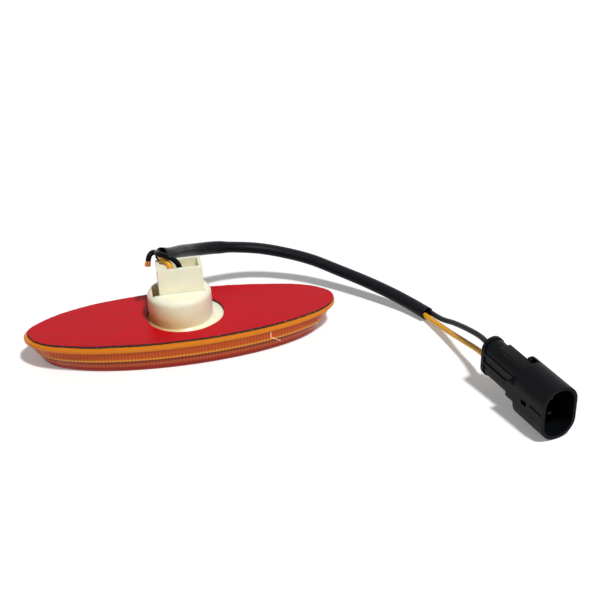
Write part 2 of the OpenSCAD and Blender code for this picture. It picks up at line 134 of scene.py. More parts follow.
# Routes repeated from the part's source
SLEEVE_ROUTE = [
    (-0.0049, 0.010, 0.0337), (-0.0012, 0.015, 0.031), (0.0038, 0.024, 0.0274),
    (0.0098, 0.033, 0.0233), (0.0188, 0.040, 0.020), (0.0288, 0.043, 0.0175),
    (0.0388, 0.043, 0.0155), (0.0488, 0.040, 0.0135), (0.0588, 0.0345, 0.0115),
    (0.0688, 0.026, 0.009), (0.0778, 0.0165, 0.0072), (0.0858, 0.007, 0.0054),
    (0.0918, -0.001, 0.0038), (0.0966, -0.0097, 0.0028),
]
BLACK_LEAD = [
    (0.0011, -0.0002, 0.032), (0.0007, 0, 0.0334), (-0.0005, 0.0004, 0.035),
    (-0.0025, 0.001, 0.0364), (-0.0048, 0.0023, 0.0369), (-0.0064, 0.0044, 0.0367),
    (-0.0067, 0.0068, 0.036), (-0.0063, 0.0088, 0.0353),
]
YELLOW_LEAD = [
    (-0.00245, 0.0001, 0.032), (-0.0028, 0.0009, 0.0333), (-0.0036, 0.0024, 0.0343),
    (-0.0047, 0.0045, 0.0349), (-0.0053, 0.0065, 0.0345), (-0.0053, 0.0081, 0.0334),
]
BLACK_END = [
    (0.0995, -0.020, 0.0053), (0.1013, -0.030, 0.0085), (0.1028, -0.042, 0.012),
    (0.1041, -0.054, 0.0148),
]
YELLOW_END = [
    (0.098, -0.020, 0.0032), (0.0998, -0.030, 0.0046), (0.1018, -0.042, 0.0068),
    (0.1038, -0.054, 0.0088),
]
TAIL_ROUTE = [
    (-0.007, 0.0115, 0.0342), (-0.0078, 0.0102, 0.0349), (-0.0088, 0.009, 0.035),
    (-0.0097, 0.0081, 0.0342), (-0.0102, 0.0075, 0.0327),
]

# Width and height of the sleeve along its length, as shares of its diameter: it is snug
# round the wires up to a crease behind the lamp, and flattened after it
SLEEVE_SHAPE = [
    (0.0, 1.04, 1.04), (0.04, 1.0, 1.02), (0.3, 0.98, 1.0), (0.34, 1.02, 0.86),
    (0.37, 1.1, 0.86), (0.6, 1.12, 0.86), (0.9, 1.06, 0.92), (1.0, 1.08, 0.96),
]

# The copper strands: how many lie round the middle one, how far out as shares of their
# diameter, how much wider they stand at their tips, how deep they start in the insulation and
# by how much their lengths differ
STRANDS_ROUND = 6
STRAND_SPACING = 1.05
STRAND_SPLAY = 1.5
STRAND_ROOT = 0.0005
STRAND_UNEVEN = 0.0002

# The hand-cut edge of the pad: waves round it and how much each kind of wave counts
SLOW_WAVES, SLOW_SHARE = 3, 1.4
QUICK_WAVES, QUICK_SHARE = 40, 0.5
HOLE_WAVES, HOLE_SHARE = 4, 0.012

# How finely the pieces are made
CORD_STEP = 0.0012
TAIL_STEP = 0.0006
STRAND_STEP = 0.0005
WIRE_SIDES = 20
SLEEVE_SIDES = 28
STRAND_SIDES = 10
FACE_COLUMNS = 60
FLUTE_COLUMNS = 8
RING_SIDES = 300
RING_CUTS = 12
BEVEL_STEPS = 4

# Angles down the rounding between the lens's wall and face, and the angle past which an edge of
# the lens stays sharp
BEND_ANGLES = range(-20, -91, -7)
SHARP_FROM = 32

# Colours that no setting changes
CORD_BLACK = (0.002, 0.0022, 0.004)
PLUG_BLACK = (0.003, 0.0034, 0.005)
SEAL_OCHRE = (0.2, 0.17, 0.1)
BRASS = (0.62, 0.44, 0.18)
COPPER = (0.7, 0.26, 0.08)
# The terminals' tin is painted near black for the shade deep in the plug's mouth
SHADE_DARKENED_TIN = (0.035, 0.035, 0.034)
TUNGSTEN = (0.42, 0.41, 0.4)
GLASS = (0.96, 0.97, 0.97, 1)
WHITE = (1, 1, 1)
BLACK = (0, 0, 0)

# Bands of painted light and shade on the lens, from its face at 0 to the top of its rim at 1:
# painted shade in the darker bands near the face and a painted highlight in the bright band under
# the ridge.
# Each band has the shares of the lens's own red, green and blue that show there
DEEP_SHADE_TINT = (0.42, 0.06, 0.1)
ROSY = (0.68, 0.42, 3.0)
DARK_SHADE_TINT = (0.34, 0.16, 0.8)
HIGHLIGHT_TINT = (1.1, 1.5, 3.0)
MIDDLE = (0.78, 0.46, 1.6)
LENS_SHADE_AND_HIGHLIGHT_BANDS = [
    (0.0, DEEP_SHADE_TINT), (0.16, DEEP_SHADE_TINT), (0.25, ROSY), (0.32, ROSY), (0.36, DARK_SHADE_TINT), (0.42, DARK_SHADE_TINT),
    (0.455, HIGHLIGHT_TINT), (0.495, HIGHLIGHT_TINT), (0.54, MIDDLE), (0.8, MIDDLE), (0.85, WHITE), (1.0, WHITE),
]

# The painted shade of the flutes that show through the wall, and where it ends under the rim
FLUTE_WAVES = 250.0
FLUTE_SHADE = (0.82, 0.7, 0.66)
UNDER_RIM = (0.82, 0.8)

# Pale thin marks on the lens's near wall, each from one place to another as x and z: half their
# width, how far past it they fade, where they end as shares of their length from the middle,
# and their colour
PALE_MARKS = (((0.0322, 0.0088), (0.0321, 0.0058)), ((0.0324, 0.0061), (0.0361, 0.003)))
PALE_MARK_W = 0.00014
PALE_MARK_FADE = 1.8
PALE_MARK_ENDS = (0.44, 0.54)
PALE_MARK_COLOUR = (0.8, 0.62, 0.5)

# The amber light and shade painted into the boss, from its right to its left and from its top to
# its foot, and its tints from none to most
AMBER_LIGHT_X = (0.012, -0.012)
AMBER_LIGHT_Z = (0.0225, 0.014)
AMBER_LIGHT_TINTS = [
    (0.0, WHITE), (0.3, (1, 0.94, 0.82)), (0.6, (0.98, 0.8, 0.56)), (0.95, (0.72, 0.42, 0.2)),
]

# Roughness of the sleeve before and after its crease, and where the crease is along X
SLEEVE_GLOSS = (0.24, 0.46)
CREASE_X = (0.026, 0.034)

# A noise keeps mostly within these values
NOISE_LOW, NOISE_HIGH = 0.3, 0.7
NOISE_SPAN = (NOISE_LOW, NOISE_HIGH)

# The light over the lamp, and how brightly the sky lights the lamp and shows
KEY_PLACE = (0.72, -1.42, 2.85)
KEY_SIZE = 0.36
SKY_LIGHT = 0.13
SKY_SHOWN = 1.0

# The floor's own glow keeps it white to the eye, more so far behind the lamp along Y
FLOOR_COLOUR = (0.9, 0.9, 0.9, 1)
FLOOR_GLOW = (0.215, 0.37)
FLOOR_Y = (0.0, 0.5)


def settings():
    return bpy.context.scene.marker_lamp


# Lines

def heading(route, i):
    """The way the route goes at its point i."""
    ahead = route[min(i + 1, len(route) - 1)]
    behind = route[max(i - 1, 0)]
    return (Vector(ahead) - Vector(behind)).normalized()


def holder_point(x, y, z):
    """A place given in the bulb holder's frame, at its real height."""
    place = Euler((0, 0, math.radians(HOLDER_TURN))).to_matrix() @ Vector((x, y, 0))
    return Vector((HOLDER_PLACE[0] + place.x, HOLDER_PLACE[1] + place.y, z))


def plug_turn():
    tip = Euler((0, math.radians(PLUG_TIP), 0)).to_matrix()
    turn = Euler((0, 0, math.radians(PLUG_TURN))).to_matrix()
    return turn @ tip


def plug_point(x, y, z):
    """A place given in the plug's frame."""
    return Vector(PLUG_PLACE) + plug_turn() @ Vector((x, y, z))


def beside_sleeve(off):
    """The line of one wire inside the sleeve, beside the other wire."""
    line = []
    for i, point in enumerate(SLEEVE_ROUTE):
        ahead = heading(SLEEVE_ROUTE, i)
        side = Vector((ahead.y, -ahead.x, 0)).normalized()
        share = i / (len(SLEEVE_ROUTE) - 1)
        a = math.radians(WIRE_TWIST[0] + (WIRE_TWIST[1] - WIRE_TWIST[0]) * share)
        line.append(Vector(point) + off * (math.cos(a) * side + math.sin(a) * side.cross(ahead)))
    return line


def wire_route(crimp, lead, off, end, level):
    """A wire from its crimp, over the holder and through the sleeve, to its terminal."""
    foot = [holder_point(crimp, CRIMP_Y, CRIMP_TOP + rise) for rise in (0, WIRE_FOOT)]
    rear = [plug_point(PLUG_REAR, 0, level), plug_point(TERMINAL_END, 0, level)]
    middle = lead + beside_sleeve(off) + end
    return foot + [Vector(point) for point in middle] + rear


def smooth_line(route, step):
    """Points about a step apart on one smooth curve through every point of the route."""
    route = [Vector(point) for point in route]
    line = [route[0]]
    for i in range(len(route) - 1):
        before = route[max(i - 1, 0)]
        start, end = route[i], route[i + 1]
        after = route[min(i + 2, len(route) - 1)]
        count = max(1, round((end - start).length / step))
        for k in range(1, count + 1):
            t = k / count
            out = (end - before) * 0.5
            into = (after - start) * 0.5
            line.append(
                start * (2 * t**3 - 3 * t**2 + 1) + out * (t**3 - 2 * t**2 + t)
                + end * (3 * t**2 - 2 * t**3) + into * (t**3 - t**2)
            )
    return line


def line_length(line):
    return sum((b - a).length for a, b in zip(line, line[1:]))


def shares(line):
    """How far along the line each of its points is, from 0 to 1."""
    total, far, out = line_length(line), 0.0, [0.0]
    for a, b in zip(line, line[1:]):
        far += (b - a).length
        out.append(far / total)
    return out


def between(keys, share):
    """Values between the keys (share, a, b, ...), eased."""
    for low, high in zip(keys, keys[1:]):
        if share <= high[0]:
            t = (share - low[0]) / (high[0] - low[0])
            t = t * t * (3 - 2 * t)
            return [a + (b - a) * t for a, b in zip(low[1:], high[1:])]
    return list(keys[-1][1:])


# Meshes

def new_piece(name, bm, material, smooth=True):
    """The finished mesh as an object of the scene."""
    bmesh.ops.recalc_face_normals(bm, faces=bm.faces[:])
    mesh = bpy.data.meshes.new(name)
    bm.to_mesh(mesh)
    bm.free()
    mesh.materials.append(material)
    for face in mesh.polygons:
        face.use_smooth = smooth
    piece = bpy.data.objects.new(name, mesh)
    bpy.context.scene.collection.objects.link(piece)
    return piece


def next_ring(bm, edges):
    """The vertices and edges of a new ring, extruded from a ring's edges and still on it."""
    made = bmesh.ops.extrude_edge_only(bm, edges=edges)["geom"]
    ring = {item for item in made if isinstance(item, bmesh.types.BMVert)}
    edges = [
        item for item in made
        if isinstance(item, bmesh.types.BMEdge) and all(vert in ring for vert in item.verts)
    ]
    return list(ring), edges


def sweep(bm, line, size_at, sides, caps=True):
    """A ring drawn along a line. size_at gives the half width and half height at each share."""
    up = Vector((0, 0, 1)) if abs(heading(line, 0).z) < 0.9 else Vector((0, 1, 0))
    places = []
    for i, (point, share) in enumerate(zip(line, shares(line))):
        ahead = heading(line, i)
        up = (up - up.dot(ahead) * ahead).normalized()
        place = Matrix((up.cross(ahead), up, ahead)).transposed().to_4x4()
        place.translation = point
        places.append((place, Vector((*size_at(share), 1))))
    place, size = places[0]
    ring = bmesh.ops.create_circle(bm, cap_ends=False, radius=1, segments=sides)["verts"]
    bmesh.ops.transform(bm, matrix=place @ Matrix.Diagonal(size).to_4x4(), verts=ring)
    edges = list({edge for vert in ring for edge in vert.link_edges})
    ends = [edges]
    for (last, old), (place, size) in zip(places, places[1:]):
        ring, edges = next_ring(bm, edges)
        change = Matrix.Diagonal(Vector([a / b for a, b in zip(size, old)])).to_4x4()
        bmesh.ops.transform(bm, matrix=place @ change @ last.inverted(), verts=ring)
    ends.append(edges)
    if caps:
        for end in ends:
            bmesh.ops.holes_fill(bm, edges=end, sides=0)
    return bm


def same_all_along(diameter):
    return lambda share: (diameter / 2, diameter / 2)


# Materials

def start_material(name):
    material = bpy.data.materials.new(name)
    material.use_nodes = True
    tree = material.node_tree
    return material, tree, tree.nodes["Principled BSDF"]


def object_coords(tree, stretch=(1, 1, 1)):
    coords = tree.nodes.new("ShaderNodeTexCoord")
    mapping = tree.nodes.new("ShaderNodeMapping")
    mapping.inputs["Scale"].default_value = stretch
    tree.links.new(coords.outputs["Object"], mapping.inputs["Vector"])
    return mapping.outputs["Vector"]


def add_noise(tree, vector, scale, detail=4.0, roughness=0.55):
    node = tree.nodes.new("ShaderNodeTexNoise")
    node.inputs["Scale"].default_value = scale
    node.inputs["Detail"].default_value = detail
    node.inputs["Roughness"].default_value = roughness
    tree.links.new(vector, node.inputs["Vector"])
    return node.outputs["Fac"]


def add_ramp(tree, value, stops):
    """Colours by value. Each stop is a place from 0 to 1 and a colour."""
    node = tree.nodes.new("ShaderNodeValToRGB")
    ramp = node.color_ramp
    while len(ramp.elements) < len(stops):
        ramp.elements.new(0.5)
    for element, (place, colour) in zip(ramp.elements, stops):
        element.position = place
        element.color = tuple(colour)[:3] + (1,)
    tree.links.new(value, node.inputs["Fac"])
    return node.outputs["Color"]


def add_range(tree, value, span, to):
    """The value's span laid over another one, and held at its ends."""
    node = tree.nodes.new("ShaderNodeMapRange")
    for names, limits in ((("From Min", "From Max"), span), (("To Min", "To Max"), to)):
        for name, limit in zip(names, limits):
            node.inputs[name].default_value = limit
    tree.links.new(value, node.inputs["Value"])
    return node.outputs["Result"]


def add_bump(tree, shader, height, strength, distance):
    node = tree.nodes.new("ShaderNodeBump")
    node.inputs["Strength"].default_value = strength
    node.inputs["Distance"].default_value = distance
    tree.links.new(height, node.inputs["Height"])
    tree.links.new(node.outputs["Normal"], shader.inputs["Normal"])


def add_mix(tree, mode, factor, first, second):
    """Two colours mixed. Factor is a socket or a number."""
    node = tree.nodes.new("ShaderNodeMix")
    node.data_type = "RGBA"
    node.blend_type = mode
    if isinstance(factor, float):
        node.inputs[0].default_value = factor
    else:
        tree.links.new(factor, node.inputs[0])
    tree.links.new(first, node.inputs[6])
    tree.links.new(second, node.inputs[7])
    return node.outputs[2]


def add_math(tree, operation, *values):
    """Each value is a socket or a number."""
    node = tree.nodes.new("ShaderNodeMath")
    node.operation = operation
    for socket, value in zip(node.inputs, values):
        if isinstance(value, float):
            socket.default_value = value
        else:
            tree.links.new(value, socket)
    return node.outputs[0]


def axis_value(tree, vector, axis):
    node = tree.nodes.new("ShaderNodeSeparateXYZ")
    tree.links.new(vector, node.inputs["Vector"])
    return node.outputs[axis]


def shade(colour, by):
    return tuple(min(1.0, max(0.0, c * by)) for c in colour[:3])


def tinted(colour, tint):
    return tuple(c * t for c, t in zip(colour, tint))


def moulded(
    name, colour, roughness, variation=0.06, grain=900.0, depth=0.00003, stretch=(1, 1, 1),
    gleam=0.5,
):
    """A moulded or drawn surface: slightly uneven colour, uneven gloss and a fine grain."""
    material, tree, shader = start_material(name)
    vector = object_coords(tree, stretch)
    broad = add_noise(tree, vector, 90.0)
    fine = add_noise(tree, vector, grain, 6.0)
    tint = add_ramp(tree, broad, [
        (NOISE_LOW, shade(colour, 1 - variation)), (NOISE_HIGH, shade(colour, 1 + variation)),
    ])
    tree.links.new(tint, shader.inputs["Base Color"])
    gloss = add_range(tree, fine, NOISE_SPAN, (roughness * 0.85, roughness * 1.15))
    tree.links.new(gloss, shader.inputs["Roughness"])
    shader.inputs["Specular IOR Level"].default_value = gleam
    add_bump(tree, shader, fine, 0.35, depth)
    return material


def on_pale_mark(tree, vector, start, end):
    """1 on a thin line on the lens's near wall, between two places given as x and z."""
    way = Vector(end) - Vector(start)
    x, y, z = (axis_value(tree, vector, axis) for axis in "XYZ")
    right = add_math(tree, "SUBTRACT", x, start[0])
    above = add_math(tree, "SUBTRACT", z, start[1])
    across = add_math(
        tree, "SUBTRACT", add_math(tree, "MULTIPLY", right, way.y / way.length),
        add_math(tree, "MULTIPLY", above, way.x / way.length),
    )
    along = add_math(
        tree, "ADD", add_math(tree, "MULTIPLY", right, way.x / way.length_squared),
        add_math(tree, "MULTIPLY", above, way.y / way.length_squared),
    )
    thin = add_range(
        tree, add_math(tree, "ABSOLUTE", across), (PALE_MARK_W, PALE_MARK_W * PALE_MARK_FADE), (1.0, 0.0),
    )
    from_middle = add_math(tree, "ABSOLUTE", add_math(tree, "SUBTRACT", along, 0.5))
    within = add_range(tree, from_middle, PALE_MARK_ENDS, (1.0, 0.0))
    near = add_range(tree, y, (-0.001, -0.002), (0.0, 1.0))
    return add_math(tree, "MULTIPLY", add_math(tree, "MULTIPLY", thin, within), near)


def amber_plastic():
    """Amber with bands of painted shade and highlight from face to rim, and the flutes' painted
    shade.
    """
    material, tree, shader = start_material("amber_lens")
    vector = object_coords(tree)
    colour = tuple(settings().amber)
    level = add_range(tree, axis_value(tree, vector, "Z"), (0.0, LENS_H), (0.0, 1.0))
    # Painted shade and a painted highlight in bands up the wall
    bands = add_ramp(tree, level, [(place, tinted(colour, tint)) for place, tint in LENS_SHADE_AND_HIGHLIGHT_BANDS])
    # Painted shade of the flutes that show through the wall
    ribs = tree.nodes.new("ShaderNodeTexWave")
    ribs.inputs["Scale"].default_value = FLUTE_WAVES
    ribs.inputs["Distortion"].default_value = 1.5
    tree.links.new(vector, ribs.inputs["Vector"])
    stripes = add_ramp(tree, ribs.outputs["Fac"], [(0.2, FLUTE_SHADE), (0.7, WHITE)])
    under_rim = add_range(tree, level, UNDER_RIM, (0.0, 1.0))
    wall = add_mix(tree, "MULTIPLY", under_rim, bands, stripes)
    # Pale thin marks added over the wall's colour
    for start, end in PALE_MARKS:
        pale_mark_mask = on_pale_mark(tree, vector, start, end)
        pale = add_ramp(tree, pale_mark_mask, [(0.0, BLACK), (1.0, PALE_MARK_COLOUR)])
        wall = add_mix(tree, "ADD", 1.0, wall, pale)
    tree.links.new(wall, shader.inputs["Base Color"])
    scuffs = add_noise(tree, vector, 240.0, 8.0, 0.7)
    gloss = add_range(tree, scuffs, (0.5, 0.75), (0.12, 0.3))
    tree.links.new(gloss, shader.inputs["Roughness"])
    add_bump(tree, shader, scuffs, 0.2, 0.00005)
    shader.inputs["IOR"].default_value = 1.49
    shader.inputs["Transmission Weight"].default_value = 0.18
    shader.inputs["Specular IOR Level"].default_value = 0.08
    return material


def ivory_plastic(name):
    """Ivory that lets a little light through."""
    material = moulded(
        name, settings().ivory, 0.34, variation=0.04, grain=700.0, depth=0.00002, gleam=0.4,
    )
    shader = material.node_tree.nodes["Principled BSDF"]
    shader.inputs["Subsurface Weight"].default_value = 0.5
    shader.inputs["Subsurface Radius"].default_value = (1.0, 0.6, 0.35)
    shader.inputs["Subsurface Scale"].default_value = 0.0025
    return material


def ivory_with_painted_amber_light():
    """Ivory with painted amber light and shade at the foot of the boss, most of all on its left."""
    material = ivory_plastic("housing_ivory")
    tree = material.node_tree
    shader = tree.nodes["Principled BSDF"]
    plain = shader.inputs["Base Color"].links[0].from_socket
    vector = object_coords(tree)
    left = add_range(tree, axis_value(tree, vector, "X"), AMBER_LIGHT_X, (0.0, 1.0))
    low = add_range(tree, axis_value(tree, vector, "Z"), AMBER_LIGHT_Z, (0.0, 1.0))
    # Painted amber light and shade, strongest low on the left of the boss
    painted_amber_light = add_ramp(tree, add_math(tree, "MULTIPLY", left, low), AMBER_LIGHT_TINTS)
    tree.links.new(add_mix(tree, "MULTIPLY", 1.0, plain, painted_amber_light), shader.inputs["Base Color"])
    return material


def black_foam():
    """Black foam with the pale rims of its open cells."""
    material, tree, shader = start_material("black_foam")
    cells = add_noise(tree, object_coords(tree), 1500.0, 3.0, 0.7)
    tint = add_ramp(tree, cells, [
        (0.35, (0.008, 0.008, 0.008)), (0.6, (0.035, 0.033, 0.033)), (0.72, (0.3, 0.28, 0.27)),
    ])
    tree.links.new(tint, shader.inputs["Base Color"])
    shader.inputs["Roughness"].default_value = 0.95
    add_bump(tree, shader, cells, 0.8, 0.0002)
    return material


def red_liner():
    """Red film with faint streaks along the lamp."""
    material, tree, shader = start_material("red_liner")
    streaks = add_noise(tree, object_coords(tree, (14, 160, 14)), 4.0, 8.0, 0.65)
    colour = tuple(settings().liner)
    tint = add_ramp(tree, streaks, [
        (0.3, shade(colour, 0.86)), (0.55, colour), (0.75, shade(colour, 1.12)),
    ])
    tree.links.new(tint, shader.inputs["Base Color"])
    gloss = add_range(tree, streaks, NOISE_SPAN, (0.36, 0.5))
    tree.links.new(gloss, shader.inputs["Roughness"])
    shader.inputs["Specular IOR Level"].default_value = 0.1
    add_bump(tree, shader, streaks, 0.25, 0.0001)
    return material


def drawn_sleeve():
    """Glossy where it is stretched over the wires, dull where it is creased flat."""
    material, tree, shader = start_material("black_sleeve")
    vector = object_coords(tree)
    creases = add_noise(tree, vector, 260.0, 5.0, 0.6)
    tint = add_ramp(tree, creases, [
        (NOISE_LOW, (0.002, 0.002, 0.004)), (NOISE_HIGH, (0.005, 0.005, 0.009)),
    ])
    tree.links.new(tint, shader.inputs["Base Color"])
    gloss = add_range(tree, axis_value(tree, vector, "X"), CREASE_X, SLEEVE_GLOSS)
    tree.links.new(gloss, shader.inputs["Roughness"])
    shader.inputs["Specular IOR Level"].default_value = 0.1
    add_bump(tree, shader, creases, 0.25, 0.0001)
    return material


def black_insulation(name):
    return moulded(name, CORD_BLACK, 0.3, variation=0.2, grain=500.0, gleam=0.07)


def yellow_insulation():
    return moulded(
        "yellow_insulation", settings().yellow, 0.38, variation=0.08, grain=500.0, gleam=0.3,
    )


def plug_plastic():
    return moulded(
        "black_plug", PLUG_BLACK, 0.42, variation=0.2, grain=1100.0, depth=0.00004, gleam=0.07,
    )


def bright_metal(name, colour, roughness):
    """Metal with fine marks, drawn out along Z."""
    material = moulded(
        name, colour, roughness, variation=0.1, grain=1200.0, depth=0.00002, stretch=(1, 1, 6),
    )
    material.node_tree.nodes["Principled BSDF"].inputs["Metallic"].default_value = 1.0
    return material


def clear_glass():
    material, tree, shader = start_material("clear_glass")
    smears = add_noise(tree, object_coords(tree), 300.0)
    gloss = add_range(tree, smears, (0.4, 0.8), (0.02, 0.08))
    tree.links.new(gloss, shader.inputs["Roughness"])
    shader.inputs["Base Color"].default_value = GLASS
    shader.inputs["Transmission Weight"].default_value = 1.0
    shader.inputs["IOR"].default_value = 1.5
    return material


def dress(node, material):
    """Give a CAD solid its material."""
    mesh = NODES[node].data
    mesh.materials.clear()
    mesh.materials.append(material)


class LampSettings(bpy.types.PropertyGroup):
    amber: FloatVectorProperty(
        name="Lens", description="Colour of the amber lens", subtype="COLOR",
        default=(0.9, 0.27, 0.012), min=0, max=1,
    )
    ivory: FloatVectorProperty(
        name="Housing", description="Colour of the housing and the bulb holder",
        subtype="COLOR", default=(0.96, 0.9, 0.7), min=0, max=1,
    )
    liner: FloatVectorProperty(
        name="Liner", description="Colour of the release liner", subtype="COLOR",
        default=(0.56, 0.002, 0.01), min=0, max=1,
    )
    yellow: FloatVectorProperty(
        name="Yellow wire", description="Colour of the yellow wire's insulation",
        subtype="COLOR", default=(0.9, 0.43, 0.008), min=0, max=1,
    )
    cut_wobble: FloatProperty(
        name="Edge wobble", description="How far the cut edge of the pad wanders",
        default=0.00042, min=0, max=0.001, subtype="DISTANCE", unit="LENGTH",
    )
    strand_d: FloatProperty(
        name="Strand", description="Diameter of one copper strand of the cut tail",
        default=0.0006, min=0.0003, max=0.0008, subtype="DISTANCE", unit="LENGTH",
    )
    floor_size: FloatProperty(
        name="Floor", description="Width and depth of the floor",
        default=6.0, min=2.0, max=20.0, subtype="DISTANCE", unit="LENGTH",
    )
    key_power: FloatProperty(
        name="Key light", description="Power of the large light over the lamp",
        default=92.0, min=0.0, max=400.0, subtype="POWER", unit="POWER",
    )


def make_wire(name, route, node, material):
    line = smooth_line(route, CORD_STEP)
    bm = sweep(bmesh.new(), line, same_all_along(WIRE_D), WIRE_SIDES)
    piece = new_piece(name, bm, material)
    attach(piece, BODY)
    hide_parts(node)


class LAMP_OT_camera(bpy.types.Operator):
    """Place the camera that matches the photograph"""
    bl_idname = "lamp.camera"
    bl_label = "Camera"

    def execute(self, context):
        data = bpy.data.cameras.new("camera")
        data.sensor_fit = "HORIZONTAL"
        data.sensor_width = CAMERA_SENSOR
        data.lens = CAMERA_LENS
        data.clip_start = 0.01
        camera = bpy.data.objects.new("camera", data)
        camera.location = CAMERA_PLACE
        camera.rotation_euler = [math.radians(angle) for angle in CAMERA_TURN]
        context.scene.collection.objects.link(camera)
        context.scene.camera = camera
        return {"FINISHED"}


class LAMP_OT_wires(bpy.types.Operator):
    """Draw the black and the yellow wire from the holder through the sleeve to the plug"""
    bl_idname = "lamp.wires"
    bl_label = "Wires"

    def execute(self, context):
        black, yellow = black_insulation("black_insulation"), yellow_insulation()
        route = wire_route(CRIMP_BLACK, BLACK_LEAD, WIRE_SIDE, BLACK_END, TERMINAL_LEVEL)
        make_wire(
            "black_wire", route, "wire_black",
            black,
        )
        route = wire_route(CRIMP_YELLOW, YELLOW_LEAD, -WIRE_SIDE, YELLOW_END, -TERMINAL_LEVEL)
        make_wire(
            "yellow_wire", route, "wire_yellow",
            yellow,
        )
        return {"FINISHED"}


class LAMP_OT_sleeve(bpy.types.Operator):
    """Draw the sleeve, snug round the wires near the lamp and flattened after its crease"""
    bl_idname = "lamp.sleeve"
    bl_label = "Sleeve"

    def execute(self, context):
        line = smooth_line(SLEEVE_ROUTE, CORD_STEP)

        def size_at(share):
            wide, high = between(SLEEVE_SHAPE, share)
            return SLEEVE_D / 2 * wide, SLEEVE_D / 2 * high

        bm = sweep(bmesh.new(), line, size_at, SLEEVE_SIDES, caps=False)
        piece = new_piece("sleeve", bm, drawn_sleeve())
        wall = piece.modifiers.new("Wall", "SOLIDIFY")
        wall.thickness = SLEEVE_WALL
        wall.offset = -1
        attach(piece, BODY)
        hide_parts("cable_sleeve")
        return {"FINISHED"}


class LAMP_OT_tail(bpy.types.Operator):
    """Draw the cut end of a third lead with its bare copper strands"""
    bl_idname = "lamp.tail"
    bl_label = "Cut tail"

    def execute(self, context):
        line = smooth_line(TAIL_ROUTE, TAIL_STEP)
        bm = sweep(bmesh.new(), line, same_all_along(WIRE_D), WIRE_SIDES)
        tail = new_piece("cut_tail", bm, black_insulation("tail_insulation"))
        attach(tail, BODY)
        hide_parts("wire_tail")
        ahead = heading(line, len(line) - 1)
        bm = bmesh.new()
        for strand in self.strands(line[-1], ahead):
            sweep(bm, strand, same_all_along(settings().strand_d), STRAND_SIDES)
        core = new_piece("copper_strands", bm, bright_metal("copper", COPPER, 0.35))
        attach(core, BODY)
        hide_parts("tail_core")
        return {"FINISHED"}

    def strands(self, end, ahead):
        """The lines of the strands, which come out of the cut end and spread."""
        side = ahead.orthogonal().normalized()
        other = ahead.cross(side)
        lines = []
        for k in range(STRANDS_ROUND + 1):
            a = math.radians(360 / STRANDS_ROUND * k)
            central = k == STRANDS_ROUND
            out = 0 if central else settings().strand_d * STRAND_SPACING
            splay = 1.0 if central else STRAND_SPLAY
            offset = out * (math.cos(a) * side + math.sin(a) * other)
            start = end - ahead * STRAND_ROOT + offset
            tip = end + ahead * (CORE_L - STRAND_UNEVEN * (k % 3)) + offset * splay
            lines.append(smooth_line([start, (start + tip) / 2 + offset * 0.1, tip], STRAND_STEP))
        return lines


def flute_columns():
    """Places along the fluted face, each with the height that a flute has there."""
    half = CAVITY_LOW_L / 2
    count = int(half / FLUTE_PITCH)
    places = [half * math.cos(math.pi * k / FACE_COLUMNS) for k in range(FACE_COLUMNS + 1)]
    for i in range(-count, count + 1):
        places += [
            i * FLUTE_PITCH + FLUTE_R * math.cos(math.pi * k / FLUTE_COLUMNS)
            for k in range(FLUTE_COLUMNS + 1)
        ]
    columns = []
    for x in sorted({round(place, 6) for place in places}):
        if abs(x) <= half:
            off = x - FLUTE_PITCH * round(x / FLUTE_PITCH)
            columns.append((x, math.sqrt(max(0.0, FLUTE_R**2 - off**2))))
    return columns


def lens_rings():
    """Length, width and level of each oval from the cavity round the rim and down to the face."""
    outside = LENS_W / LENS_L
    inside = CAVITY_LOW_W / CAVITY_LOW_L
    plate_z = LENS_H - PLATE_T
    rim_z = LENS_H - RIM_H
    rebate = [
        (CAVITY_TOP_L, CAVITY_TOP_L * inside, plate_z),
        (REBATE_L, REBATE_W, plate_z),
        (REBATE_L, REBATE_W, LENS_H),
    ]
    rim = [
        (LENS_L / 2 - RIM_ROUND, LENS_H), (LENS_L / 2, LENS_H - RIM_ROUND),
        (LENS_L / 2, rim_z + RIM_ROUND), (LENS_L / 2 - RIM_ROUND, rim_z), (WALL_TOP_L / 2, rim_z),
    ]
    foot = FACE_L / 2 - FACE_EDGE_R
    bend = [
        (foot + FACE_EDGE_R * math.cos(a), FACE_EDGE_R * (1 + math.sin(a)))
        for a in [math.radians(angle) for angle in BEND_ANGLES]
    ]
    bend_x, bend_z = bend[0]
    lean = (WALL_TOP_L / 2 - bend_x) / (rim_z - bend_z)
    ridge = [
        (bend_x + lean * (z - bend_z) + out, z)
        for z, out in (
            (RIDGE_Z + RIDGE_H, 0), (RIDGE_Z + RIDGE_H / 2, RIDGE_OUT),
            (RIDGE_Z, RIDGE_OUT), (RIDGE_Z - RIDGE_H / 2, 0),
        )
    ]
    return rebate + [(2 * x, 2 * x * outside, z) for x, z in rim + ridge + bend]


